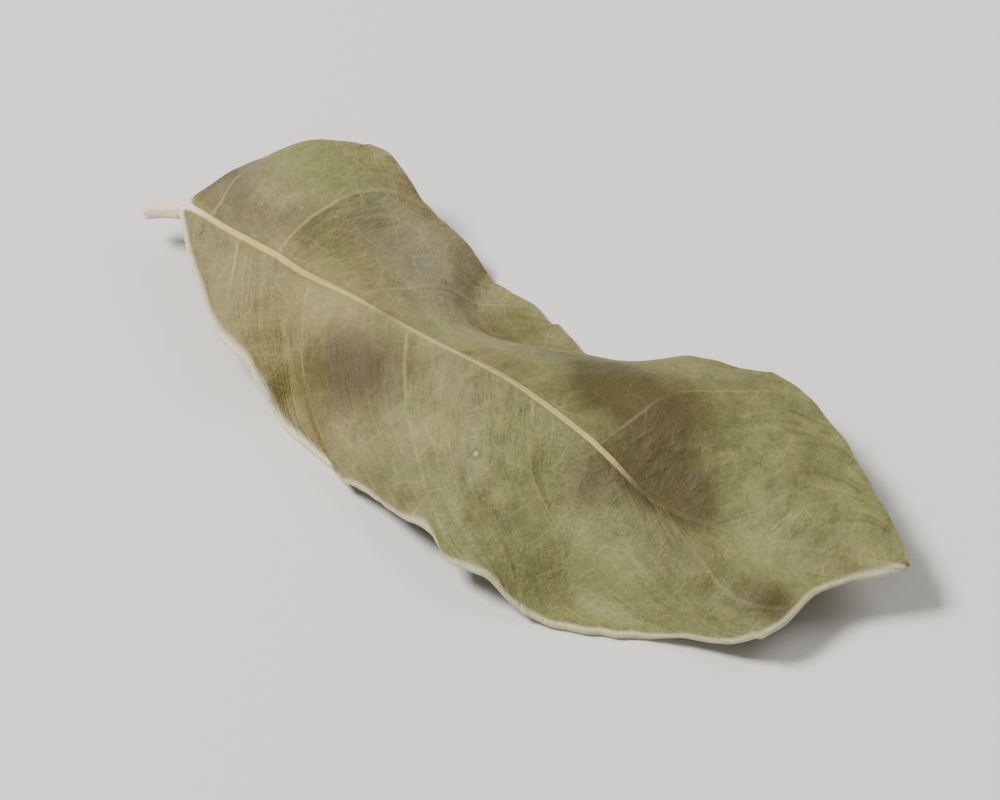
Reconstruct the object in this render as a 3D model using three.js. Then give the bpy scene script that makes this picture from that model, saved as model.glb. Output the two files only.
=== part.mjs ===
// One dried moringa leaflet, lying arched on a level surface with its veined back uppermost.
// Millimetres, +Z up, +X from the stalk to the tip. The surface that it lies on is Z = 0.
import * as THREE from 'three';
import { mergeVertices } from 'three/addons/utils/BufferGeometryUtils.js';

// The blade and its stalk
const BLADE_THICKNESS = 0.6;
const STALK_RADIUS = 0.29;
const STALK_WAIST_RADIUS = 0.25;

// The veins, which stand out of the upper face
const MIDRIB_HEIGHT = 0.26;
const MIDRIB_HALF_WIDTH = 0.3;
const MIDRIB_TIP_HEIGHT_SHARE = 0.25;
const SIDE_VEIN_HEIGHT = 0.12;
const SIDE_VEINS = 6;

// How far along the leaf a side vein runs forwards on its way to the edge, as a share of the leaf,
// and how much of that it leaves to its outer end, which gives it a forward bend
const VEIN_ADVANCE = 0.15;
const VEIN_BEND = 0.25;

// The middle of the outline, measured from the base of the blade
const OUTLINE_MIDDLE = new THREE.Vector3(12.76, -1.2, 0);

// The lower face, as smooth curves through [x, y, z] from the base of the blade to its tip.
// A height below zero is where the edge lies flat on the surface.
const MIDRIB = [
  [0, 0, 1.6], [3.3, -0.35, 2.05], [6.6, -0.85, 2.45], [10, -1.4, 2.8], [13.3, -1.55, 3.0],
  [16.4, -1.85, 2.75], [19.2, -2.4, 1.85], [22.7, -1.6, 1.55], [27.0, 0, 1.5],
];
const NEAR_EDGE = [
  [0, -0.29, 1.6], [1.75, -1.85, 1.5], [3.6, -3.3, 1.3], [5.7, -4.3, 0.7], [8.0, -5.0, -1.0],
  [10.4, -5.6, 0.4], [12.9, -6.2, 0.85], [15.0, -6.9, 0.8], [17.2, -7.0, 0.3],
  [19.6, -6.35, -1.0], [22.1, -5.1, 0.3], [24.4, -4.15, 0.75], [25.1, -1.9, 1.05], [27.0, -0.1, 1.45],
];
const FAR_EDGE = [
  [0, 0.29, 1.6], [0.9, 2.5, 1.8], [2.6, 3.9, 2.6], [4.4, 4.65, 2.6], [6.4, 4.3, 1.5],
  [8.6, 4.1, 0.2], [10.8, 3.9, -1.7], [12.9, 3.2, -1.4], [14.8, 2.7, 0.4], [17.2, 3.5, 1.2],
  [19.8, 4.0, 1.65], [22.3, 3.2, 1.6], [24.9, 1.5, 1.5], [27.0, 0.1, 1.5],
];
// The stalk, from its broken end to the base of the blade
const STALK = [[-1.4, -0.3, 1.05], [-0.7, -0.08, 1.32], [0, 0, 1.6]];

// How the two halves of the blade differ: how far a half this wide bows up, how many small waves its
// edge has and where they start, and its teeth, as [place along the leaf, depth]
const BOWED_WIDTH = 7;
const NEAR_HALF = { bow: 0.35, waves: 10.5, start: 0.3, teeth: [[0.37, 0.22], [0.62, 0.1], [0.84, 0.16]] };
const FAR_HALF = { bow: 0.45, waves: 9.5, start: 0.7, teeth: [[0.21, 0.12], [0.5, 0.14], [0.76, 0.1]] };
const EDGE_WAVE_HEIGHT = 0.12;
const TOOTH_LENGTH = 0.045;

// The height over which the blade levels out onto the surface that it lies on
const SETTLE_HEIGHT = 0.4;

// How finely the surface is divided. The steps per vein are even, so that cross lines run along the
// far half's veins too, which start half-way between the near half's.
const STALK_STEPS = 8;
const STEPS_PER_VEIN = 16;
const BLADE_STEPS = SIDE_VEINS * STEPS_PER_VEIN;
const COLUMNS_PER_HALF = 10;
const COLUMNS = 2 * COLUMNS_PER_HALF;
const COLUMN_CROWDING = 0.75;

const { smoothstep } = THREE.MathUtils;
const TURN = 2 * Math.PI;
const curveThrough = (points) => {
  const corners = points.map(([x, y, z]) => new THREE.Vector3(x, y, z));
  return new THREE.CatmullRomCurve3(corners, false, 'catmullrom');
};
const midrib = curveThrough(MIDRIB);
const edgeCurves = [curveThrough(NEAR_EDGE), curveThrough(FAR_EDGE)];
const stalk = curveThrough(STALK);

// Columns run from -1 at the near edge over 0 at the midrib to 1 at the far edge,
// closer together at the midrib and at the edges.
function columnAt(index) {
  const even = index / COLUMNS_PER_HALF - 1;
  return even - (COLUMN_CROWDING / TURN) * Math.sin(TURN * even);
}

// A tooth steps the edge outwards at its start and dies away towards the tip.
function toothDepth(teeth, t) {
  const started = teeth.filter(([start]) => t >= start);
  return started.reduce((sum, [start, depth]) => sum + depth * Math.exp((start - t) / TOOTH_LENGTH), 0);
}

// Where the sheet would dip under the surface that it lies on, it levels out and lies flat there.
function settled(height) {
  if (height > SETTLE_HEIGHT) return height;
  return height < -SETTLE_HEIGHT ? 0 : (height + SETTLE_HEIGHT) ** 2 / (4 * SETTLE_HEIGHT);
}

// Half the thickness at a distance from the edge, which is rounded to a half circle.
function roundedHalf(halfThickness, fromEdge) {
  if (fromEdge >= halfThickness) return halfThickness;
  return Math.sqrt(halfThickness ** 2 - (halfThickness - fromEdge) ** 2);
}

// One cross line of the blade at t, from 0 at its base to 1 at its tip. It leaves the midrib behind t
// and runs forwards to both edges at t, along the side veins.
function bladeLine(t) {
  const middle = midrib.getPoint(t - VEIN_ADVANCE * Math.sin(Math.PI * t));
  const edges = edgeCurves.map((edge) => edge.getPoint(t));
  return { middle, edges, t, isBlade: true, halfThickness: t < 1 ? BLADE_THICKNESS / 2 : 0 };
}

// One ring of the stalk at q, from 0 at its rounded broken end to 1 at the blade.
function stalkRing(q) {
  const middle = stalk.getPoint(q);
  const along = stalk.getTangent(q);
  const across = new THREE.Vector3(-along.y, along.x, 0).normalize();
  const stalkRadius = STALK_RADIUS - (STALK_RADIUS - STALK_WAIST_RADIUS) * Math.sin(Math.PI * q) ** 2;
  const radius = stalkRadius * roundedHalf(1, (q * stalk.getLength()) / STALK_RADIUS);
  const edges = [-radius, radius].map((offset) => middle.clone().addScaledVector(across, offset));
  return { middle, edges, t: 0, isBlade: false, halfThickness: radius };
}

// A point of the lower face's sheet. The line bends forwards and bows up between the midrib and the
// edge, and the edge's teeth and small waves die away inwards.
function sheetPoint({ middle, edges, t, isBlade }, column) {
  const share = Math.abs(column);
  const edge = edges[column < 0 ? 0 : 1];
  const point = middle.clone().lerp(edge, share);
  if (!isBlade) return point;
  const half = column < 0 ? NEAR_HALF : FAR_HALF;
  const outwards = edge.clone().sub(middle).setZ(0);
  const width = outwards.length();
  point.x = middle.x + outwards.x * ((1 - VEIN_BEND) * share + VEIN_BEND * share ** 2);
  point.addScaledVector(outwards, (toothDepth(half.teeth, t) * share ** 8) / width);
  const bow = half.bow * 4 * share * (1 - share) * (width / BOWED_WIDTH);
  const wave = Math.sin(TURN * (half.waves * t + half.start)) * Math.sin(Math.PI * t);
  point.z = settled(point.z + bow + EDGE_WAVE_HEIGHT * wave * share ** 3);
  return point;
}

// How far the veins stand out of the upper face. The midrib rises out of the stalk and sinks towards
// the tip. The side veins fade at both their ends.
function veinHeight({ middle, edges, t, isBlade }, column) {
  if (!isBlade) return 0;
  const share = Math.abs(column);
  const distance = share * edges[column < 0 ? 0 : 1].distanceTo(middle);
  const ribShape = Math.exp(-((distance / MIDRIB_HALF_WIDTH) ** 2));
  const ribFade = smoothstep(t, 0, 0.06) * (1 - (1 - MIDRIB_TIP_HEIGHT_SHARE) * t) * (1 - t);
  const place = t * SIDE_VEINS + (column < 0 ? 0 : 0.5);
  const veinShape = Math.max(0, 1 - Math.abs(place - Math.round(place)) * STEPS_PER_VEIN);
  const veinFade = smoothstep(t, 0.03, 0.1) * Math.sqrt(1 - t) * smoothstep(share, 0, 0.3) * (1 - share ** 4);
  return MIDRIB_HEIGHT * ribShape * ribFade + SIDE_VEIN_HEIGHT * veinShape * veinFade;
}

// The upward direction of the sheet at row i and column j, from its neighbours.
function sheetNormal(sheet, i, j) {
  const along = sheet[Math.min(i + 1, sheet.length - 1)][j].clone().sub(sheet[Math.max(i - 1, 0)][j]);
  const across = sheet[i][Math.min(j + 1, COLUMNS)].clone().sub(sheet[i][Math.max(j - 1, 0)]);
  return along.cross(across).normalize();
}

// The two faces as grids of points. They meet along both edges, at the stalk's end and at the tip.
function leafFaces() {
  const lines = [];
  for (let i = 0; i < STALK_STEPS; i++) lines.push(stalkRing((i / STALK_STEPS) ** 2));
  for (let i = 0; i <= BLADE_STEPS; i++) lines.push(bladeLine(i / BLADE_STEPS));
  const columns = Array.from({ length: COLUMNS + 1 }, (_, j) => columnAt(j));
  const sheet = lines.map((line) => columns.map((column) => sheetPoint(line, column)));
  const face = (rise) => lines.map((line, i) => columns.map((column, j) => {
    const halfWidth = line.edges[column < 0 ? 0 : 1].distanceTo(line.middle);
    const half = roundedHalf(line.halfThickness, halfWidth * (1 - Math.abs(column)));
    return sheet[i][j].clone().addScaledVector(sheetNormal(sheet, i, j), rise(line, column, half));
  }));
  const veins = (line, column, half) => (half > 0 ? veinHeight(line, column) : 0);
  return {
    lower: face((line, column, half) => line.halfThickness - half),
    upper: face((line, column, half) => line.halfThickness + half + veins(line, column, half)),
  };
}

// A closed surface over the two grids, split into triangles alike on both faces, and mirrored at the
// midrib. Triangles that shrink to a line where the faces meet are left out.
function closedSurface(lower, upper) {
  const positions = [];
  const addTriangle = (a, b, c) => {
    const doubleArea = b.clone().sub(a).cross(c.clone().sub(a)).length();
    if (doubleArea > 1e-7) [a, b, c].forEach((point) => positions.push(...point.toArray()));
  };
  const cell = (face, i, j) => [face[i][j], face[i + 1][j], face[i + 1][j + 1], face[i][j + 1]];
  for (let i = 0; i + 1 < upper.length; i++) {
    for (let j = 0; j < COLUMNS; j++) {
      const above = cell(upper, i, j);
      const below = cell(lower, i, j);
      const split = j < COLUMNS_PER_HALF ? [[0, 1, 3], [1, 2, 3]] : [[0, 1, 2], [0, 2, 3]];
      for (const [a, b, c] of split) {
        addTriangle(above[a], above[b], above[c]);
        addTriangle(below[a], below[c], below[b]);
      }
    }
  }
  const loose = new THREE.BufferGeometry();
  loose.setAttribute('position', new THREE.Float32BufferAttribute(positions, 3));
  const geometry = mergeVertices(loose, 1e-4);
  geometry.computeVertexNormals();
  return geometry;
}

function makeLeaf() {
  const { lower, upper } = leafFaces();
  const dryLeaf = new THREE.MeshStandardMaterial({ color: 0x9a936a, roughness: 0.62, metalness: 0 });
  const leaf = new THREE.Mesh(closedSurface(lower, upper), dryLeaf);
  leaf.name = 'leaf';
  leaf.position.copy(OUTLINE_MIDDLE).negate();
  return leaf;
}

const group = new THREE.Group();
group.add(makeLeaf());

export default group;
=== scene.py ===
# %% [markdown]
# # One dried moringa leaflet
#
# A leaflet of the moringa tree has dried and lies arched on a table, with its veined back uppermost.
# It is a sheet of leaf a fifth of a millimetre thick, with a pale stalk, a raised midrib, side veins,
# and a cream rim that drying has rolled up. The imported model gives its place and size, and this
# script gives it a real leaf's thickness, relief and colours.

# %% Frame
from math import cos, radians, sin

import bmesh
import bpy
import numpy as np
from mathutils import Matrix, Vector


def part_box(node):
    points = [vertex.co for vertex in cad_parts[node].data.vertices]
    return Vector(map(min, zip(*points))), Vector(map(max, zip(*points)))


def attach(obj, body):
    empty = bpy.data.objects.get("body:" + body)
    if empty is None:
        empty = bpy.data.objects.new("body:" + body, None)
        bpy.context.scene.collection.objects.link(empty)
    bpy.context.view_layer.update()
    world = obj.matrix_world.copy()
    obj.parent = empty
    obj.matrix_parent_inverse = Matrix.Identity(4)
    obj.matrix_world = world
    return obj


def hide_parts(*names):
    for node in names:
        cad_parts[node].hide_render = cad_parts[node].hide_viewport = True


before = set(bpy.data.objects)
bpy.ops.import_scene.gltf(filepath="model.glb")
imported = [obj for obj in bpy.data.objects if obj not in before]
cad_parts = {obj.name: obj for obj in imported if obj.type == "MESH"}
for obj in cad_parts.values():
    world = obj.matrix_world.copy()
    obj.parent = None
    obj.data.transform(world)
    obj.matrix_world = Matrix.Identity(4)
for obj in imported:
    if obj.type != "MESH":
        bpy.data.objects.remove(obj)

MM = 0.001
TURN = 2 * np.pi
TINY = 1e-12
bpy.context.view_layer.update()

# %% [markdown]
# ## The lines that carry the leaf
#
# A leaflet hangs on its midrib: the blade spreads from it to two edges, and the stalk runs into it.
# These could be curve objects with a skin between them. Plain points with one smooth formula are
# easier here, because the faces, veins and colours can all be worked out from the same lines.
# The points are millimetres from the base of the blade: along, across and up. A height below zero
# is where an edge lies flat on the table.

# %% Lines of the leaf
BLADE_BASE = np.array([-12.76, 1.2, 0])
MIDRIB = [
    (0, 0, 1.6), (3.3, -0.35, 2.05), (6.6, -0.85, 2.45), (10, -1.4, 2.8), (13.3, -1.55, 3.0),
    (16.4, -1.85, 2.75), (19.2, -2.4, 1.85), (22.7, -1.6, 1.55), (27.0, 0, 1.5),
]
NEAR_EDGE = [
    (0, -0.29, 1.6), (1.75, -1.85, 1.5), (3.6, -3.3, 1.3), (5.7, -4.3, 0.7), (8.0, -5.0, -1.0),
    (10.4, -5.6, 0.4), (12.9, -6.2, 0.85), (15.0, -6.9, 0.8), (17.2, -7.0, 0.3),
    (19.6, -6.35, -1.0), (22.1, -5.1, 0.3), (24.4, -4.15, 0.75), (25.1, -1.9, 1.05),
    (27.0, -0.1, 1.45),
]
FAR_EDGE = [
    (0, 0.29, 1.6), (0.9, 2.5, 1.8), (2.6, 3.9, 2.6), (4.4, 4.65, 2.6), (6.4, 4.3, 1.5),
    (8.6, 4.1, 0.2), (10.8, 3.9, -1.7), (12.9, 3.2, -1.4), (14.8, 2.7, 0.4), (17.2, 3.5, 1.2),
    (19.8, 4.0, 1.65), (22.3, 3.2, 1.6), (24.9, 1.5, 1.5), (27.0, 0.1, 1.5),
]
STALK = [(-1.4, -0.3, 1.05), (-0.7, -0.08, 1.32), (0, 0, 1.6)]


def smooth_curve(points, share):
    """A curve through the points, at shares from 0 to 1 of their number. Between two neighbours it is
    a cubic, whose slope at each is half the step from the point before to the point after."""
    ends = np.array([points[0], points[-1]], float)
    inner = np.array([points[1], points[-2]], float)
    corners = np.vstack([2 * ends[:1] - inner[:1], points, 2 * ends[1:] - inner[1:]])
    place = np.clip(share, 0, 1) * (len(points) - 1)
    first = np.minimum(place.astype(int), len(points) - 2)
    u = (place - first)[..., None]
    a, b, c, d = (corners[first + k] for k in range(4))
    bend = u**2 * (a - 2.5 * b + 2 * c - d / 2)
    twist = u**3 * (1.5 * (b - c) + (d - a) / 2)
    return b + u * (c - a) / 2 + bend + twist


def smoothstep(value, low, high):
    """0 up to low, 1 from high on, and 3u² - 2u³ between them."""
    u = np.clip((value - low) / (high - low), 0, 1)
    return u * u * (3 - 2 * u)


def bell(value, width):
    """1 at zero, falling away on both sides as exp(-(value / width)²)."""
    return np.exp(-((value / width) ** 2))


print("midrib, from above, mm:", round(float(np.hypot(MIDRIB[-1][0], MIDRIB[-1][1])), 1))

# %% [markdown]
# ## The grid of the leaf
#
# The sheet is a grid. Its rows cross the leaf from edge to edge, first over the stalk and then over
# the blade, and its columns run lengthwise. The rows leave the midrib behind their place and run
# forwards to the edge, as the side veins do, so that a vein follows a row. Columns crowd together at
# the midrib and at both edges, where the surface turns most sharply.

# %% Grid
STALK_RADIUS = 0.29
STALK_WAIST_RADIUS = 0.25
STALK_ROWS = 24
BLADE_ROWS = 316
HALF_COLUMNS = 66
CROWDING = 0.66
VEIN_ADVANCE = 0.15


def rounded(half, from_edge):
    """Half a thickness near an edge: a quarter circle from 0 at the edge to the full half."""
    inside = np.clip(from_edge, 0, half)
    return np.sqrt(np.maximum(0, half**2 - (half - inside) ** 2))


def stalk_lines(place):
    """Middle and both sides of the stalk: a curve with a radius that is drawn in at its waist by a
    squared sine and rounded off at the broken end."""
    middle = smooth_curve(STALK, place)
    along = np.gradient(middle, place, axis=0)
    across = np.stack([-along[:, 1], along[:, 0], np.zeros(len(place))], -1)
    across /= np.linalg.norm(across, axis=1, keepdims=True)
    length = np.linalg.norm(np.subtract(STALK[-1], STALK[0]))
    radius = STALK_RADIUS - (STALK_RADIUS - STALK_WAIST_RADIUS) * np.sin(np.pi * place) ** 2
    radius = radius * rounded(np.ones(len(place)), place * length / STALK_RADIUS)
    return middle, middle - across * radius[:, None], middle + across * radius[:, None], radius


def blade_lines(place):
    """Midrib and both edges of the blade. The midrib's place lags behind by a half sine."""
    middle = smooth_curve(MIDRIB, place - VEIN_ADVANCE * np.sin(np.pi * place))
    return middle, smooth_curve(NEAR_EDGE, place), smooth_curve(FAR_EDGE, place)


stalk_place = (np.arange(STALK_ROWS) / STALK_ROWS) ** 2
blade_place = np.linspace(0, 1, BLADE_ROWS + 1)
even = np.linspace(-1, 1, 2 * HALF_COLUMNS + 1)
column = even - CROWDING / TURN * np.sin(TURN * even)

*stalk_rows, stalk_radius = stalk_lines(stalk_place)
row_lines = zip(stalk_rows, blade_lines(blade_place))
middle, near_edge, far_edge = (np.vstack(pair)[:, None] for pair in row_lines)
t = np.concatenate([np.zeros(STALK_ROWS), blade_place])[:, None]
on_blade = np.arange(len(t))[:, None] >= STALK_ROWS
share = np.abs(column)[None, :]
is_near = column[None, :] < 0
edge = np.where(is_near[..., None], near_edge, far_edge)
width = np.linalg.norm(edge - middle, axis=-1)
print("rows and columns:", len(t), len(column))

# %% [markdown]
# ## The sheet
#
# Between the midrib and an edge the blade bows up, its edge is cut into blunt teeth, worn and waved,
# and where it would dip under the table it levels out and lies flat. A cloth simulation could drape it,
# but a dry leaf is stiff and keeps the shape that it dried in, so the shape is given directly.

# %% Sheet
NEAR_HALF = dict(bow=0.35, waves=10.5, start=0.3, teeth=[(0.37, 0.22), (0.62, 0.1), (0.84, 0.16)])
FAR_HALF = dict(bow=0.45, waves=9.5, start=0.7, teeth=[(0.21, 0.12), (0.5, 0.14), (0.76, 0.1)])
BOWED_WIDTH = 7
VEIN_BEND = 0.25
EDGE_WAVE_HEIGHT = 0.12
TOOTH_LENGTH = 0.045
NIBBLE_DEPTH = 0.06
NIBBLE_CELL = 0.5
SETTLE_HEIGHT = 0.4
LATTICE = 64
LATTICE_COS, LATTICE_SIN = 0.8, 0.6


def crumple(x, y, cell, seed):
    """Smooth noise from -1 to 1: random numbers on a lattice of this cell size, blended between the
    corners of each cell by the smoothstep curve. The lattice is turned by 37 degrees, so that its
    rows don't follow the leaf's. A seed always gives the same numbers."""
    lattice = np.random.default_rng(seed).uniform(-1, 1, (LATTICE, LATTICE))
    x, y = LATTICE_COS * x + LATTICE_SIN * y, LATTICE_COS * y - LATTICE_SIN * x
    x, y = x / cell, y / cell
    i, j = np.floor(x).astype(int), np.floor(y).astype(int)
    u, v = smoothstep(x - i, 0, 1), smoothstep(y - j, 0, 1)
    corner = [[lattice[(i + a) % LATTICE, (j + b) % LATTICE] for b in (0, 1)] for a in (0, 1)]
    start = corner[0][0] * (1 - v) + corner[0][1] * v
    end = corner[1][0] * (1 - v) + corner[1][1] * v
    return start * (1 - u) + end * u


def tooth_depth(teeth, place):
    """Teeth step out at their start and die away towards the tip as an exponential."""
    steps = [np.where(place < start, 0, depth * np.exp(-np.abs(place - start) / TOOTH_LENGTH))
             for start, depth in teeth]
    return sum(steps)


def settled(height):
    """Heights above the table, blended by a parabola into flat contact with it."""
    level = np.clip(height + SETTLE_HEIGHT, 0, None) ** 2 / (4 * SETTLE_HEIGHT)
    return np.where(height > SETTLE_HEIGHT, height, level)


def half_sheet(half):
    """One half of the blade: straight from midrib to edge, bent forwards by the square of the share,
    bowed up by 4s(1 - s), toothed and nibbled by s⁸ and waved by s³, where s is the share of the way."""
    outwards = (edge - middle) * [1, 1, 0]
    breadth = np.maximum(np.linalg.norm(outwards, axis=-1), TINY)
    sheet = middle + (edge - middle) * share[..., None]
    ahead = (1 - VEIN_BEND) * share + VEIN_BEND * share**2
    sheet[..., 0] = middle[..., 0] + outwards[..., 0] * ahead
    nibbles = NIBBLE_DEPTH * crumple(edge[..., 0], edge[..., 1], NIBBLE_CELL, seed=21)
    reach = tooth_depth(half["teeth"], t) + nibbles * np.sin(np.pi * t)
    sheet += outwards * (reach * share**8 / breadth)[..., None]
    bow = half["bow"] * 4 * share * (1 - share) * breadth / BOWED_WIDTH
    wave = np.sin(TURN * (half["waves"] * t + half["start"])) * np.sin(np.pi * t)
    sheet[..., 2] = settled(sheet[..., 2] + bow + EDGE_WAVE_HEIGHT * wave * share**3)
    return sheet


stalk_sheet = middle + (edge - middle) * share[..., None]
blade_sheet = np.where(is_near[..., None], half_sheet(NEAR_HALF), half_sheet(FAR_HALF))
sheet = np.where(on_blade[..., None], blade_sheet, stalk_sheet)
by_row = np.gradient(sheet, axis=0)
by_column = np.gradient(sheet, axis=1)
upwards = np.cross(by_row, by_column)
upwards /= np.maximum(np.linalg.norm(upwards, axis=-1, keepdims=True), TINY)
print("arch of the leaf, mm:", round(float(sheet[..., 2].max()), 2))

# %% [markdown]
# ## Distances on the leaf
#
# Relief and colour depend on how far a point lies from the midrib, from the edge and from the
# nearest side vein. Each of these lines is where some value on the grid is a whole number: the
# column's place at the midrib and the edges, and at the side veins a phase that rises by one from
# vein to vein. A value divided by its own slope on the surface is a distance in millimetres, which
# keeps every line equally wide however the grid is stretched.

# %% Slope on the surface
LEAST_SLOPE = 0.01

row_row = (by_row**2).sum(-1)
row_column = (by_row * by_column).sum(-1)
column_column = (by_column**2).sum(-1)
area_squared = np.maximum(row_row * column_column - row_column**2, TINY)


def slope_of(value):
    """How fast a value on the grid changes for each millimetre of the surface: the length of its
    gradient, worked out from the lengths of the grid's steps and the angle between them."""
    rise_by_row, rise_by_column = np.gradient(value)
    steepness = column_column * rise_by_row**2 + row_row * rise_by_column**2
    steepness = steepness - 2 * row_column * rise_by_row * rise_by_column
    return np.sqrt(np.maximum(steepness / area_squared, LEAST_SLOPE**2))


column_slope = slope_of(column + 0 * t)
print("grid cells of the blade, mm²:", round(float(np.median(area_squared[STALK_ROWS:]) ** 0.5), 4))

# %% Distances
from_midrib = np.where(on_blade, share / column_slope, share * width)
from_edge = np.where(on_blade, (1 - share) / column_slope, (1 - share) * width)
steps = np.hypot(*np.moveaxis(np.diff(sheet, axis=1)[..., 1:], -1, 0))
walked = np.cumsum(np.pad(steps, ((0, 0), (1, 0))), axis=1)
along = sheet[..., 0]
across = walked - walked[:, HALF_COLUMNS, None] + middle[..., 1]
print("across the blade, mm:", round(float(walked.max()), 1))

# %% [markdown]
# ## One upward direction at the midrib
#
# The two halves meet at an angle along the midrib, and thickness laid on along two directions
# would gape or cross there. Near the midrib the upward direction turns into the mean of its two
# shoulders, a little way out on either side.

# %% Upward direction
SHOULDER_WIDTH = 1.2
SHOULDER_COLUMNS = 20

shoulders = upwards[:, [HALF_COLUMNS - SHOULDER_COLUMNS, HALF_COLUMNS + SHOULDER_COLUMNS]]
ridge_top = shoulders.sum(axis=1, keepdims=True)
ridge_top /= np.maximum(np.linalg.norm(ridge_top, axis=-1, keepdims=True), TINY)
own_share = smoothstep(from_midrib, 0, SHOULDER_WIDTH)[..., None]
upwards = np.where(on_blade[..., None], upwards * own_share + ridge_top * (1 - own_share), upwards)
upwards /= np.maximum(np.linalg.norm(upwards, axis=-1, keepdims=True), TINY)
tilt = np.degrees(np.arccos(upwards[STALK_ROWS:, :, 2]))
print("tilt of the blade, degrees: mean", round(float(tilt.mean())), "most", round(float(tilt.max())))

# %% Side veins
SIDE_VEINS = 6
VEIN_SWING = 0.4
VEIN_WANDER = 0.07
VEIN_WANDER_CELL = 2.4
STEADY_SHARE = 0.4
LEAST_PHASE_SLOPE = 0.1

phase = SIDE_VEINS * t + np.where(is_near, 0, 0.5) - VEIN_SWING * share**5
wander = VEIN_WANDER * crumple(along, across, VEIN_WANDER_CELL, seed=3)
phase = phase + wander * smoothstep(share, 0, STEADY_SHARE)
phase_slope = np.maximum(slope_of(phase), LEAST_PHASE_SLOPE)
from_vein = np.abs(phase - np.round(phase)) / phase_slope
print("side veins apart, mm:", round(float(1 / np.median(phase_slope[STALK_ROWS:])), 1))

# %% [markdown]
# ## Thickness
#
# A dry leaflet is about 0.2 mm thick. It is thicker where the stalk runs into it and along the rim,
# and its edges are round. A solidify modifier would give one thickness all over, so the half
# thickness is worked out for each point, and the two faces come from it further down.

# %% Thickness
SHEET_THICKNESS = 0.2
RIM_EXTRA = 0.03
RIM_WIDTH = 0.24
RIM_START = 0.05
COLLAR_LENGTH = 2.2
COLLAR_CORE = 0.25
COLLAR_BREADTH = 0.8

collar = 1 - smoothstep(along, 0, COLLAR_LENGTH)
collar = collar * (1 - smoothstep(from_midrib, COLLAR_CORE, COLLAR_BREADTH))
rim = bell(from_edge, RIM_WIDTH) * smoothstep(t, 0, RIM_START)
blade_half = SHEET_THICKNESS / 2 + RIM_EXTRA * rim + (STALK_RADIUS - SHEET_THICKNESS / 2) * collar
stalk_half = np.concatenate([stalk_radius, np.zeros(BLADE_ROWS + 1)])[:, None]
plain_half = np.where(on_blade, blade_half, stalk_half)
from_tip = (1 - t) * MIDRIB[-1][0]
from_outline = np.where(on_blade, np.minimum(from_edge, from_tip), from_edge)
half = rounded(plain_half, from_outline)
print("thickness, mm:", round(2 * float(np.median(half)), 2), "to", round(2 * float(half.max()), 2))

# %% [markdown]
# ## Midrib and side veins
#
# The veins stand out of the leaf's back as soft ribs, which grow lower and narrower towards the tip
# and the edge. The midrib also leaves a groove in the lower face. A rib could be a tube laid on
# the leaf. In the real one it is part of the sheet, so it is a bell of the distance from its line.

# %% Ribs
MIDRIB_HEIGHT = 0.16
MIDRIB_HALF_WIDTH = 0.12
MIDRIB_TIP_SHARE = 0.25
MIDRIB_START = 0.08
GROOVE_DEPTH = 0.05
GROOVE_HALF_WIDTH = 0.2
GROOVE_START = 0.08, 0.2
VEIN_HEIGHT = 0.035
VEIN_ROOT_HALF_WIDTH = 0.108
VEIN_NARROWING = 0.045
VEIN_START = 0.02, 0.09
VEIN_ROOT = 0.35

taper = 1 - (1 - MIDRIB_TIP_SHARE) * t
rib_width = (1 + taper) / 2
midrib_relief = MIDRIB_HEIGHT * bell(from_midrib, MIDRIB_HALF_WIDTH * rib_width)
midrib_relief = midrib_relief * taper * smoothstep(t, 0, MIDRIB_START) * (1 - t**6)
groove = GROOVE_DEPTH * bell(from_midrib, GROOVE_HALF_WIDTH) * smoothstep(t, *GROOVE_START) * (1 - t)
vein_fade = smoothstep(t, *VEIN_START) * np.sqrt(1 - t) * smoothstep(from_midrib, 0, VEIN_ROOT)
vein_fade = vein_fade * (1 - share**6)
vein_half_width = VEIN_ROOT_HALF_WIDTH - VEIN_NARROWING * share
vein_relief = VEIN_HEIGHT * bell(from_vein, vein_half_width) * vein_fade
print("midrib and veins stand out, mm:", round(float(midrib_relief.max()), 2),
      round(float(vein_relief.max()), 2))

# %% [markdown]
# ## Puckers, folds and a curled rim
#
# Drying has puckered the blade in several sizes, folded it softly between the side veins and
# curled its rim up, most of all on the near side by the stalk. A displacement modifier with a
# texture could do the puckers, but here they fade out where the leaf touches the table.

# %% Puckers and curl
PUCKERS = [(2.9, 0.17, 11), (1.3, 0.1, 12), (0.55, 0.05, 13)]
FOLD_HEIGHT = 0.07
CALM_WIDTH = 1.5
CALM_START = 0.1
CURL_HEIGHT = 0.12
CURL_WIDTH = 0.4
NEAR_RIM, FAR_RIM = 0.7, 0.3
STRONG_RIM_EXTRA = 0.6
STRONG_RIM_PLACE = 5.5
STRONG_RIM_LENGTH = 3
CLEAR_HEIGHTS = 0.05, 0.5

puckers = sum(height * crumple(along, across, cell, seed) for cell, height, seed in PUCKERS)
folds = FOLD_HEIGHT * np.cos(TURN * phase) * (1 - share**4)
puckers = (puckers + folds) * smoothstep(from_midrib, 0, CALM_WIDTH) * smoothstep(t, 0, CALM_START)
near_rim = NEAR_RIM + STRONG_RIM_EXTRA * bell(along - STRONG_RIM_PLACE, STRONG_RIM_LENGTH)
strong_rim = np.where(is_near, near_rim, FAR_RIM)
curl = CURL_HEIGHT * strong_rim * bell(from_edge, CURL_WIDTH) * np.sqrt(np.sin(np.pi * t))
clear_of_table = smoothstep(sheet[..., 2], *CLEAR_HEIGHTS)
lift = (puckers + curl) * clear_of_table
print("puckers and curl, mm:", round(float(lift.min()), 2), "to", round(float(lift.max()), 2))

# %% [markdown]
# ## Both faces
#
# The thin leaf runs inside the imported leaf's greater thickness, near its top, so that both reach
# equally high. Where the leaf touches the table it sinks to it.

# %% Both faces
SOLID_THICKNESS = 0.6
SINKING_HEIGHT = 1.2

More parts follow.
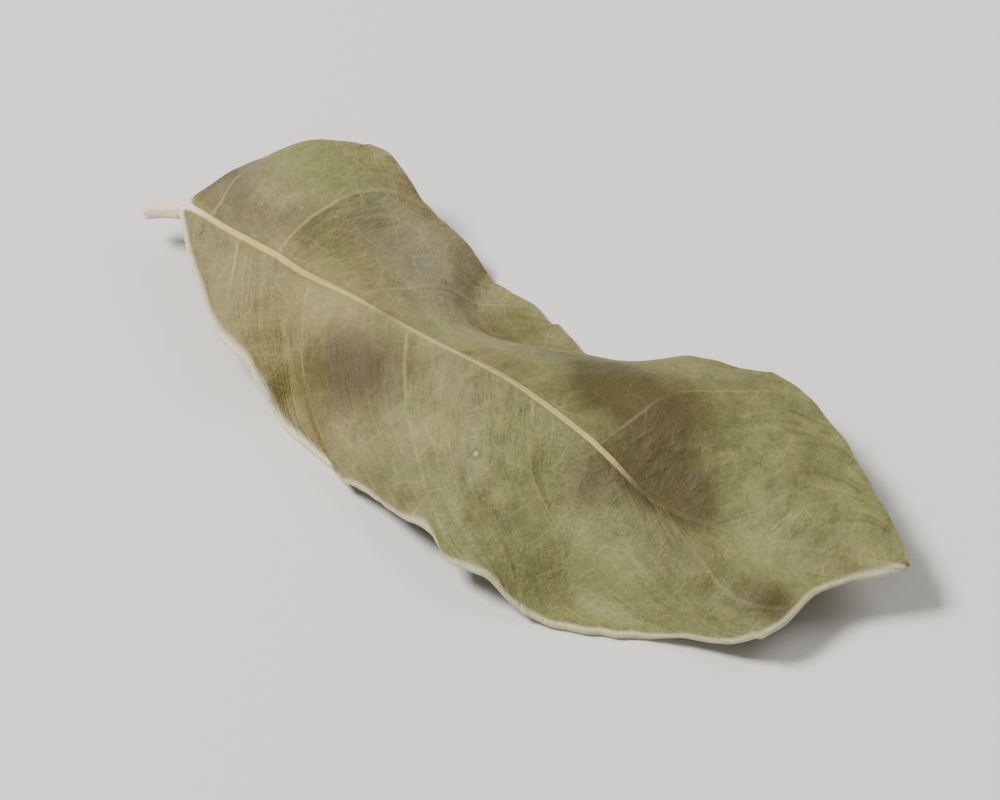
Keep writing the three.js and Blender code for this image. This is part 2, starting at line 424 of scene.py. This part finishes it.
in_the_solid = smoothstep(sheet[..., 2], 0, SINKING_HEIGHT) * on_blade
raised_middle = SOLID_THICKNESS - SHEET_THICKNESS
middle_height = plain_half + (raised_middle - plain_half) * in_the_solid
open_face = np.clip(half / (SHEET_THICKNESS / 2), 0, 1)
upper_offset = middle_height + half + (midrib_relief + vein_relief) * open_face
lower_offset = middle_height - half + groove * open_face
upper = sheet + upwards * upper_offset[..., None]
lower = sheet + upwards * lower_offset[..., None]
upper[..., 2] += lift
lower[..., 2] += lift
print("lowest and highest points, mm:", round(float(lower[..., 2].min()), 3),
      round(float(upper[..., 2].max()), 3))

# %% [markdown]
# ## Colour patches
#
# Drying turns a leaf's green to olive, tan and brown in soft patches. They could be left to noise.
# Here each is a soft spot with a place, a length and a breadth on the leaf, in millimetres, and a
# strength, so that it stays where this leaf has it, and noise in the material frays its border.
# Not all of them are the leaf's colour. The ash spots are painted light on the far half's slopes.
# Some grey, deep and brown spots are painted shade. Brown and deep spots on the far side of the
# midrib, past the middle, are partly painted shadow, as of another leaf lying over this one.

# %% Colour patches
PATCHES = dict(
    green=[(3.2, 3.0, 2.4, 1.3, 1.0), (10.8, -5.1, 2.6, 0.7, 0.6), (4.4, -1.3, 1.4, 0.6, 0.4)],
    yellow=[(10.2, -0.1, 1.8, 0.9, 1.1), (9.4, -1.7, 1.8, 0.7, 0.6), (18.4, -4.8, 2.4, 1.1, 1.2),
            (22.8, -2.0, 1.6, 1.0, 0.7)],
    # The grey spots are partly the far half's greyer tone and partly painted shade where it slopes away
    # from the key light.
    grey_and_painted_shade=[(0.7, 1.8, 1.4, 1.1, 1.6), (6.5, 2.0, 1.7, 1.1, 1.2)],
    tan=[(2.4, -1.5, 1.8, 0.8, 0.4), (4.8, -2.5, 1.4, 0.7, 0.5), (6.0, -1.3, 1.8, 0.7, 1.0),
         (6.1, -3.7, 2.0, 0.8, 1.0), (12.3, -3.9, 1.4, 0.7, 0.8), (25.8, -0.4, 1.0, 0.6, 0.5)],
    # The ash spots are painted light: they lighten the far half where it slopes away from the key light.
    painted_light=[(8.4, 2.0, 1.6, 2.0, 1.1), (5.8, 3.3, 1.2, 0.8, 0.7)],
    # The deep spot at 14.2 along is painted shadow, as of another leaf lying over this one, and the long
    # one at 10.8 along by the near edge is painted shade that dims the lit edge.
    deep_and_painted_shade=[(8.2, 0.2, 0.7, 0.3, 0.5), (14.2, 0.9, 1.8, 0.7, 0.8), (13.2, -1.5, 1.5, 1.0, 0.5),
          (10.7, 2.6, 1.2, 0.9, 1.4), (16.1, -5.1, 1.1, 0.9, 0.6), (24.4, -0.9, 1.1, 0.6, 0.6),
          (10.8, -5.2, 2.2, 0.5, 0.5)],
    # Most brown spots are the leaf's own stains. Those at 16.0, 18.6 and 19.3 along are partly painted
    # shadow, as of another leaf lying over this one, and the one at 0.5 is painted shade on the far
    # base.
    brown_and_painted_shadow=[(8.7, -2.8, 2.2, 1.2, 1.0), (19.3, -1.8, 1.8, 0.9, 1.6), (18.6, 0.3, 2.0, 1.5, 0.7),
           (16.0, 0.3, 2.0, 1.7, 1.1), (2.6, 0.6, 2.0, 0.8, 0.5), (5.4, 1.2, 1.6, 0.9, 0.4),
           (0.5, 1.8, 1.0, 0.8, 0.6), (17.3, -3.0, 1.6, 0.8, 0.6), (20.8, -3.4, 1.4, 0.7, 0.6),
           (24.0, -3.4, 1.3, 0.8, 0.8)],
)


def spots(places):
    """The sum of soft spots, each a bell along the leaf times a bell across it."""
    return sum(strength * bell(sheet[..., 0] - x, length) * bell(sheet[..., 1] - y, breadth)
               for x, y, length, breadth, strength in places)


patches = {name: spots(places) for name, places in PATCHES.items()}
print("patches:", {name: len(places) for name, places in PATCHES.items()})

# %% [markdown]
# ## Pale veins, rim and stalk
#
# The stalk's pinkish cream runs two millimetres into the midrib, and fades much faster beside it.
# The midrib shows as a pale line, strong by the stalk and past the middle, and nearly lost between
# them and by the tip. The rim is widest and palest on the near side, by the stalk. These strengths
# and the distances are kept with the mesh's points, where the material reads them.

# %% Values for the material
STALK_TINT_LENGTH = 2
STALK_TINT_NARROWING = 20
LEAF_START = 0.6
RIB_PLACES = 0, 4, 7, 8.5, 10, 13.5, 15, 17, 18.5
RIB_STRENGTHS = 1, 1, 0.75, 0.1, 0.5, 0.6, 0.9, 0.9, 0.05
BROWN_HALF_END = 9, 16
RIM_TINT_WIDTH = 0.5
NEAR_RIM_WIDENING = 1.4
RIM_STRENGTH = 0.9
RIM_LOSS = 0.25
RIM_LOSS_PLACES = 8, 10
UNDERSIDE_STRENGTH = 0.8
UNDERSIDE_START = 0.1, 0.4

off_the_rib = np.clip(from_midrib - MIDRIB_HALF_WIDTH / 2, 0, None) * smoothstep(along, 0, LEAF_START)
stalk_tint = 1 - smoothstep(along + STALK_TINT_NARROWING * off_the_rib, 0, STALK_TINT_LENGTH)
rim_shows = RIM_STRENGTH - RIM_LOSS * smoothstep(along, *RIM_LOSS_PLACES)
rim_tint_width = (RIM_TINT_WIDTH + strong_rim) * np.where(is_near, NEAR_RIM_WIDENING, 1)
leaf_values = patches | dict(
    stalk=stalk_tint, browned=1 - smoothstep(along, *BROWN_HALF_END), from_midrib=from_midrib,
    from_edge=np.where(on_blade, from_edge / rim_tint_width, 0), phase=phase,
    phase_slope=phase_slope, vein_fade=vein_fade, rib_width=rib_width + 0 * share,
    rib_shows=np.interp(along, RIB_PLACES, RIB_STRENGTHS),
    rim_shows=np.where(is_near, rim_shows, rim_shows / 2),
)
underside = UNDERSIDE_STRENGTH * smoothstep(from_edge, *UNDERSIDE_START)
underside = underside * (1 - stalk_tint) * on_blade
print("values kept on the leaf:", ", ".join(leaf_values))

# %% [markdown]
# ## The leaf's mesh
#
# The upper and lower grids meet along both edges, at the stalk's end and at the tip. Each becomes
# a sheet of quads, the lower one wound the other way round, and points that coincide are merged, so
# the leaf is one closed skin. Its UV map is millimetres along the leaf and across it.

# %% Leaf mesh
def sheet_quads(rows, columns, first, flipped):
    """Four corners for each cell of a grid whose points are numbered row by row from first."""
    corner = first + np.arange((rows - 1) * columns).reshape(rows - 1, columns)[:, :-1].ravel()
    quads = np.stack([corner, corner + columns, corner + columns + 1, corner + 1], -1)
    return quads[:, ::-1] if flipped else quads


def add_leaf_blade():
    """Makes the leaf's mesh from the two grids and stores each leaf value with its points."""
    rows, columns = upper.shape[:2]
    points = (np.concatenate([upper, lower]).reshape(-1, 3) + BLADE_BASE) * MM
    quads = np.vstack([sheet_quads(rows, columns, 0, False),
                       sheet_quads(rows, columns, rows * columns, True)])
    mesh = bpy.data.meshes.new("leaf_blade")
    mesh.from_pydata(points, [], quads)
    face_values = {name: (values, values) for name, values in leaf_values.items()}
    face_values["underside"] = (0 * underside, underside)
    for name, above_and_below in face_values.items():
        layer = mesh.attributes.new(name, "FLOAT", "POINT")
        layer.data.foreach_set("value", np.concatenate(above_and_below).ravel())
    uv_grid = np.stack([along, across], -1).reshape(-1, 2)
    corner_points = np.empty(len(mesh.loops), int)
    mesh.loops.foreach_get("vertex_index", corner_points)
    uv_map = mesh.uv_layers.new(name="leaf_mm")
    uv_map.data.foreach_set("uv", np.tile(uv_grid, (2, 1))[corner_points].ravel())
    skin = bmesh.new()
    skin.from_mesh(mesh)
    bmesh.ops.remove_doubles(skin, verts=skin.verts, dist=1e-4 * MM)
    open_edges = sum(not edge.is_manifold for edge in skin.edges)
    skin.to_mesh(mesh)
    skin.free()
    mesh.shade_smooth()
    piece = bpy.data.objects.new("leaf_blade", mesh)
    bpy.context.scene.collection.objects.link(piece)
    triangles = sum(len(face.vertices) - 2 for face in mesh.polygons)
    print("leaf_blade:", triangles, "triangles,", open_edges, "open edges")
    return piece


leaf_blade = add_leaf_blade()
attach(leaf_blade, "root")
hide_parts("leaf")

# %% [markdown]
# ## Dry leaf tissue
#
# The blade is dried leaf: dull, slightly waxy, brittle, and finely netted. Its olive comes from
# broken-down green with brown and grey in it. Veins, stalk and rim have little green and dry to
# cream. An image could give all that, but noise and a Voronoi net that are measured in the leaf's
# own millimetres follow the surface and stay sharp close up.

# %% Material helpers
def linear(hex_colour):
    """An sRGB hex colour as linear red, green, blue and full alpha."""
    parts = np.array([int(hex_colour[k:k + 2], 16) for k in (1, 3, 5)]) / 255
    parts = np.where(parts <= 0.04045, parts / 12.92, ((parts + 0.055) / 1.055) ** 2.4)
    return (*map(float, parts), 1.0)


def add(tree, kind, inputs=None, **settings):
    """Adds a node with its settings. Each input gets a plain value or a link from another node."""
    node = tree.nodes.new(kind)
    for name, value in settings.items():
        setattr(node, name, value)
    for socket, value in (inputs or {}).items():
        if isinstance(value, bpy.types.NodeSocket):
            tree.links.new(value, node.inputs[socket])
        else:
            node.inputs[socket].default_value = value
    return node


print("white as linear light:", linear("#FFFFFF"))

# %% Colours of a dry leaf
# The green has broken down to olive, browner in the half by the stalk.
OLIVE = "#757444"
TAN_OLIVE = "#82764C"
# In patches it has stayed green or yellow, or has gone grey, dark or brown. Some grey, dark and
# brown patches are partly painted shade and shadow, and the pale ash patches are painted light.
GREY_GREEN = "#6F7844"
YELLOW_GREEN = "#8E8D5A"
GREY_TAN = "#726B50"
TAN = "#938653"
PAINTED_LIGHT_TINT = "#968F74"
DEEP_OLIVE = "#47471F"
BROWN = "#433715"
# Veins, rim and stalk hold little green, and the lower face is duller than the back.
VEIN_CREAM = "#C2B47C"
RIB_CREAM = "#D2C278"
NET_LIGHT = "#A6A69E"
RIM_CREAM = "#E8E0B8"
PINK_CREAM = "#F8DCCB"
UNDERSIDE = "#666A40"

PATCH_TINTS = dict(green=(GREY_GREEN, 0.6), yellow=(YELLOW_GREEN, 0.6), grey_and_painted_shade=(GREY_TAN, 0.7),
                   tan=(TAN, 0.6), painted_light=(PAINTED_LIGHT_TINT, 0.4), deep_and_painted_shade=(DEEP_OLIVE, 0.5), brown_and_painted_shadow=(BROWN, 0.85))
print("patches and their strengths:", PATCH_TINTS)

# %% [markdown]
# ### Grain of the tissue
#
# Each grain is noise of one cell size in millimetres, from clouds of two millimetres down to
# fibres of a tenth. Real fibres are finer still, and are drawn this coarse so that they show.
# Streaks run beside the side veins, as the tissue shrinks between them.

# %% Grain
GRAINS = dict(wander=(0.9, 3), fray=(1.5, 4), mottle=(0.6, 5), fibre=(0.09, 3), blemish=(0.8, 3),
              cloud=(2.2, 3), speckle=(0.17, 2), streak=(0.3, 3))
GRAIN_ROUGHNESS = 0.6
VEIN_GAP = MIDRIB[-1][0] / SIDE_VEINS
STREAK_SQUEEZE = 0.25


def leaf_grains(tree, value, leaf_mm):
    """One noise node for each grain, a cell wide, with detail in that many halvings. The streaks'
    noise reads the vein phase times the gap between veins, and a quarter of the distance from the
    midrib, which makes it four times as long as it is wide."""
    inputs = {0: value["phase"], 1: value["from_midrib"]}
    vein_place = add(tree, "ShaderNodeCombineXYZ", inputs).outputs[0]
    inputs = {0: vein_place, 1: (VEIN_GAP, STREAK_SQUEEZE, 0)}
    streak_mm = add(tree, "ShaderNodeVectorMath", inputs, operation="MULTIPLY").outputs[0]
    grains = {}
    for name, (cell, detail) in GRAINS.items():
        inputs = {"Vector": streak_mm if name == "streak" else leaf_mm, "W": len(grains),
                  "Scale": 1 / cell, "Detail": detail, "Roughness": GRAIN_ROUGHNESS}
        grains[name] = add(tree, "ShaderNodeTexNoise", inputs, noise_dimensions="4D")
    return grains


print("grains, mm:", {name: cell for name, (cell, detail) in GRAINS.items()})

# %% [markdown]
# ### Lines on the leaf
#
# Close up, a net of small veins lies over the whole blade, in cells of about a millimetre with
# finer ones inside. Real cells are about half as wide, and are drawn coarser so that they show.
# A Voronoi pattern gives such cells, and noise bends their sides.

# %% Lines
WIDE_NET = 1.1
FINE_NET = 0.42
NET_WANDER = 0.5
SPECK = (13.7, -4.1)


def leaf_lines(tree, value, grains, leaf_mm):
    """Distances in millimetres from the nearest small vein of each net, from the nearest side vein,
    from the midrib, stretched to its full width, and from the speck."""
    inputs = {0: grains["wander"].outputs["Color"], 1: (NET_WANDER, NET_WANDER, 0), 2: leaf_mm}
    wandering = add(tree, "ShaderNodeVectorMath", inputs, operation="MULTIPLY_ADD").outputs[0]
    lines = {}
    for name, cell in (("wide_net", WIDE_NET), ("fine_net", FINE_NET)):
        inputs = {"Vector": wandering, "Scale": 1 / cell}
        net = add(tree, "ShaderNodeTexVoronoi", inputs, feature="DISTANCE_TO_EDGE",
                  voronoi_dimensions="2D").outputs["Distance"]
        lines[name] = add(tree, "ShaderNodeMath", {0: net, 1: cell}, operation="MULTIPLY").outputs[0]
    from_vein_line = add(tree, "ShaderNodeMath", {0: value["phase"], 1: 0.5}, operation="PINGPONG")
    inputs = {0: from_vein_line.outputs[0], 1: value["phase_slope"]}
    lines["side_vein"] = add(tree, "ShaderNodeMath", inputs, operation="DIVIDE").outputs[0]
    inputs = {0: value["from_midrib"], 1: value["rib_width"]}
    lines["midrib"] = add(tree, "ShaderNodeMath", inputs, operation="DIVIDE").outputs[0]
    inputs = {0: leaf_mm, 1: (*SPECK, 0)}
    lines["speck"] = add(tree, "ShaderNodeVectorMath", inputs, operation="DISTANCE").outputs["Value"]
    return lines


print("net cells, mm:", WIDE_NET, FINE_NET, "speck at", SPECK)

# %% [markdown]
# ### The leaf's colour, step by step
#
# The olive ground is mottled by the grains, then tinted by the patches, and the pale lines go on
# last. Each step mixes one tint in, by how far some measure lies between two values. Small veins
# brighten what they cross, so they show equally on olive and on brown.

# %% Tinting
MOTTLES = (("cloud", 0.5, 0.7, BROWN, 0.3), ("cloud", 0.5, 0.3, GREY_GREEN, 0.5),
           ("mottle", 0.5, 0.75, TAN, 0.35), ("mottle", 0.52, 0.28, DEEP_OLIVE, 0.45),
           ("blemish", 0.58, 0.72, BROWN, 0.4),
           ("streak", 0.5, 0.7, TAN, 0.35), ("streak", 0.48, 0.3, DEEP_OLIVE, 0.35),
           ("speckle", 0.56, 0.75, DEEP_OLIVE, 0.3), ("speckle", 0.46, 0.3, TAN, 0.25))
PATCH_START = 0.55
PATCH_FULL = 1.5


def tinted(tree, colour, measure, start, full, tint, strength, blend="MIX"):
    """Mixes a tint into a colour. The amount rises from 0 where the measure is at its start to the
    strength where it is full. Gives the new colour and the amount."""
    inputs = {"Value": measure, "From Min": start, "From Max": full, "To Max": strength}
    amount = add(tree, "ShaderNodeMapRange", inputs, interpolation_type="SMOOTHSTEP").outputs[0]
    inputs = {0: amount, 6: colour, 7: linear(tint)}
    mixed = add(tree, "ShaderNodeMix", inputs, data_type="RGBA", blend_type=blend)
    return mixed.outputs[2], amount


def mottled_ground(tree, value, grains):
    """Olive that is browner by the stalk, mottled by the grains, then tinted by each patch where
    its value and the fraying noise together are high."""
    inputs = {0: value["browned"], 6: linear(OLIVE), 7: linear(TAN_OLIVE)}
    colour = add(tree, "ShaderNodeMix", inputs, data_type="RGBA").outputs[2]
    for name, start, full, tint, strength in MOTTLES:
        colour, _ = tinted(tree, colour, grains[name].outputs["Fac"], start, full, tint, strength)
    for name, (tint, strength) in PATCH_TINTS.items():
        inputs = {0: value[name], 1: grains["fray"].outputs["Fac"]}
        frayed = add(tree, "ShaderNodeMath", inputs).outputs[0]
        colour, _ = tinted(tree, colour, frayed, PATCH_START, PATCH_FULL, tint, strength)
    return colour


print("steps of the ground colour:", 1 + len(MOTTLES) + len(PATCH_TINTS))

# %% Dry leaf material
GRAIN_RISES = dict(fibre=0.02, speckle=0.02, mottle=0.11, streak=0.08)
SIDE_VEIN_STRENGTH = 0.4
FAINT_VEIN = 0.1
FRAY_MIDDLE = 0.4, 0.6
LEAF_ROUGHNESS = 0.6
LEAF_SPECULAR = 0.35


def pale_lines(tree, value, grains, lines):
    """Each line's measure, the distances where its tint starts and is full, its tint, strength and
    blend, and how high it stands in millimetres. Side veins come and go with the fraying noise."""
    lowest, highest = FRAY_MIDDLE
    inputs = {"Value": grains["fray"].outputs["Fac"], "From Min": lowest, "From Max": highest,
              "To Min": FAINT_VEIN, "To Max": value["vein_fade"]}
    coming_and_going = add(tree, "ShaderNodeMapRange", inputs).outputs[0]
    inputs = {0: coming_and_going, 1: SIDE_VEIN_STRENGTH}
    vein_shows = add(tree, "ShaderNodeMath", inputs, operation="MULTIPLY").outputs[0]
    return ((lines["fine_net"], 0.05, 0.01, NET_LIGHT, 0.24, "DODGE", 0.008),
            (lines["wide_net"], 0.06, 0.01, NET_LIGHT, 0.34, "DODGE", 0.012),
            (lines["side_vein"], 0.08, 0.02, VEIN_CREAM, vein_shows, "MIX", 0.02),
            (lines["midrib"], 0.16, 0.08, RIB_CREAM, value["rib_shows"], "MIX", 0.01),
            (lines["speck"], 0.26, 0.12, DEEP_OLIVE, 0.5, "MIX", 0),
            (lines["speck"], 0.12, 0.0, RIM_CREAM, 0.5, "MIX", 0.03),
            (value["from_edge"], 0.15, 0.03, RIM_CREAM, value["rim_shows"], "MIX", 0.01))


def dry_leaf_material():
    """Dried moringa leaf: olive, green, tan and browns under a faint net of veins, with cream ribs
    and rim. Some of its patches are painted light and shade. It is dull but a little waxy, so its
    gloss is broad and weak."""
    material = bpy.data.materials.new("dried_moringa_leaf")
    material.use_nodes = True
    tree = material.node_tree
    value = {name: add(tree, "ShaderNodeAttribute", attribute_name=name).outputs["Fac"]
             for name in (*leaf_values, "underside")}
    leaf_mm = add(tree, "ShaderNodeUVMap", uv_map="leaf_mm").outputs["UV"]
    grains = leaf_grains(tree, value, leaf_mm)
    lines = leaf_lines(tree, value, grains, leaf_mm)
    colour = mottled_ground(tree, value, grains)

    height = 0.0
    for name, rise in GRAIN_RISES.items():
        inputs = {0: grains[name].outputs["Fac"], 1: rise, 2: height}
        height = add(tree, "ShaderNodeMath", inputs, operation="MULTIPLY_ADD").outputs[0]
    for measure, start, full, tint, strength, blend, rise in pale_lines(tree, value, grains, lines):
        colour, amount = tinted(tree, colour, measure, start, full, tint, strength, blend)
        inputs = {0: amount, 1: rise, 2: height}
        height = add(tree, "ShaderNodeMath", inputs, operation="MULTIPLY_ADD").outputs[0]
    for name, tint in (("stalk", PINK_CREAM), ("underside", UNDERSIDE)):
        inputs = {0: value[name], 6: colour, 7: linear(tint)}
        colour = add(tree, "ShaderNodeMix", inputs, data_type="RGBA").outputs[2]

    shader = tree.nodes["Principled BSDF"]
    bump = add(tree, "ShaderNodeBump", {"Height": height, "Distance": MM})
    tree.links.new(colour, shader.inputs["Base Color"])
    tree.links.new(bump.outputs["Normal"], shader.inputs["Normal"])
    shader.inputs["Roughness"].default_value = LEAF_ROUGHNESS
    shader.inputs["Specular IOR Level"].default_value = LEAF_SPECULAR
    print("dried_moringa_leaf:", len(tree.nodes), "nodes")
    return material


leaf_blade.data.materials.append(dry_leaf_material())

# %% [markdown]
# ## Table, light and camera
#
# The leaf lies on a plain pale table. A soft key light stands high at the picture's left, so that
# the stalk's end of the leaf is the brighter one, and a pale world fills the shadows. The camera
# looks down steeply with a long lens, as in a close-up, so the leaf's lines hardly draw together.

# %% Table
TABLE_HALF_SIDE = 600 * MM
TABLE_DROP = 0.01 * MM
TABLE_WHITE = "#E7E4DE"
TABLE_ROUGHNESS = 0.7


def add_table():
    """A flat square, just under the leaf so that the two surfaces don't coincide."""
    corners = np.array([(-1, -1, 0), (1, -1, 0), (1, 1, 0), (-1, 1, 0)]) * TABLE_HALF_SIDE
    mesh = bpy.data.meshes.new("table")
    mesh.from_pydata(corners - [0, 0, TABLE_DROP], [], [(0, 1, 2, 3)])
    table = bpy.data.objects.new("table", mesh)
    bpy.context.scene.collection.objects.link(table)
    paint = bpy.data.materials.new("pale_table")
    paint.use_nodes = True
    shader = paint.node_tree.nodes["Principled BSDF"]
    shader.inputs["Base Color"].default_value = linear(TABLE_WHITE)
    shader.inputs["Roughness"].default_value = TABLE_ROUGHNESS
    mesh.materials.append(paint)
    return table


add_table()

# %% Light
KEY = dict(direction=(-0.5, -0.24, 0.83), distance=300, side=90, watts=1.3)
FILL = dict(direction=(0.35, 0.55, 0.75), distance=400, side=200, watts=0.5)
ROOM_WHITE = "#F4F4F2"
ROOM_STRENGTH = 0.3


def add_soft_light(name, direction, distance, side, watts):
    """A square area light at a distance in mm along a direction, facing back to the leaf. Its side
    is in mm too."""
    lamp = bpy.data.lights.new(name, "AREA")
    lamp.size = side * MM
    lamp.energy = watts
    light = bpy.data.objects.new(name, lamp)
    way = Vector(direction).normalized()
    light.location = way * distance * MM
    light.rotation_euler = way.to_track_quat("Z", "Y").to_euler()
    bpy.context.scene.collection.objects.link(light)


add_soft_light("key", **KEY)
add_soft_light("fill", **FILL)
world = bpy.data.worlds.new("pale_room")
world.use_nodes = True
background = world.node_tree.nodes["Background"]
background.inputs["Color"].default_value = linear(ROOM_WHITE)
background.inputs["Strength"].default_value = ROOM_STRENGTH
bpy.context.scene.world = world
print("key and fill, watts:", KEY["watts"], FILL["watts"])

# %% Camera
AZIMUTH = radians(32.6)
ELEVATION = radians(50)
VIEW_WIDTH = 31.5
LENS = 250
SENSOR = 36


def add_camera():
    """A camera backed off along its view until the picture is as wide as the view width."""
    data = bpy.data.cameras.new("camera")
    data.lens = LENS
    data.sensor_width = SENSOR
    camera = bpy.data.objects.new("camera", data)
    back = Vector((sin(AZIMUTH) * cos(ELEVATION), -cos(AZIMUTH) * cos(ELEVATION), sin(ELEVATION)))
    low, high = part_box("leaf")
    camera.location = (low + high) / 2 + back * VIEW_WIDTH * MM * LENS / SENSOR
    camera.rotation_euler = back.to_track_quat("Z", "Y").to_euler()
    bpy.context.scene.collection.objects.link(camera)
    bpy.context.scene.camera = camera
    return camera


print("camera, mm:", [round(x / MM) for x in add_camera().location])
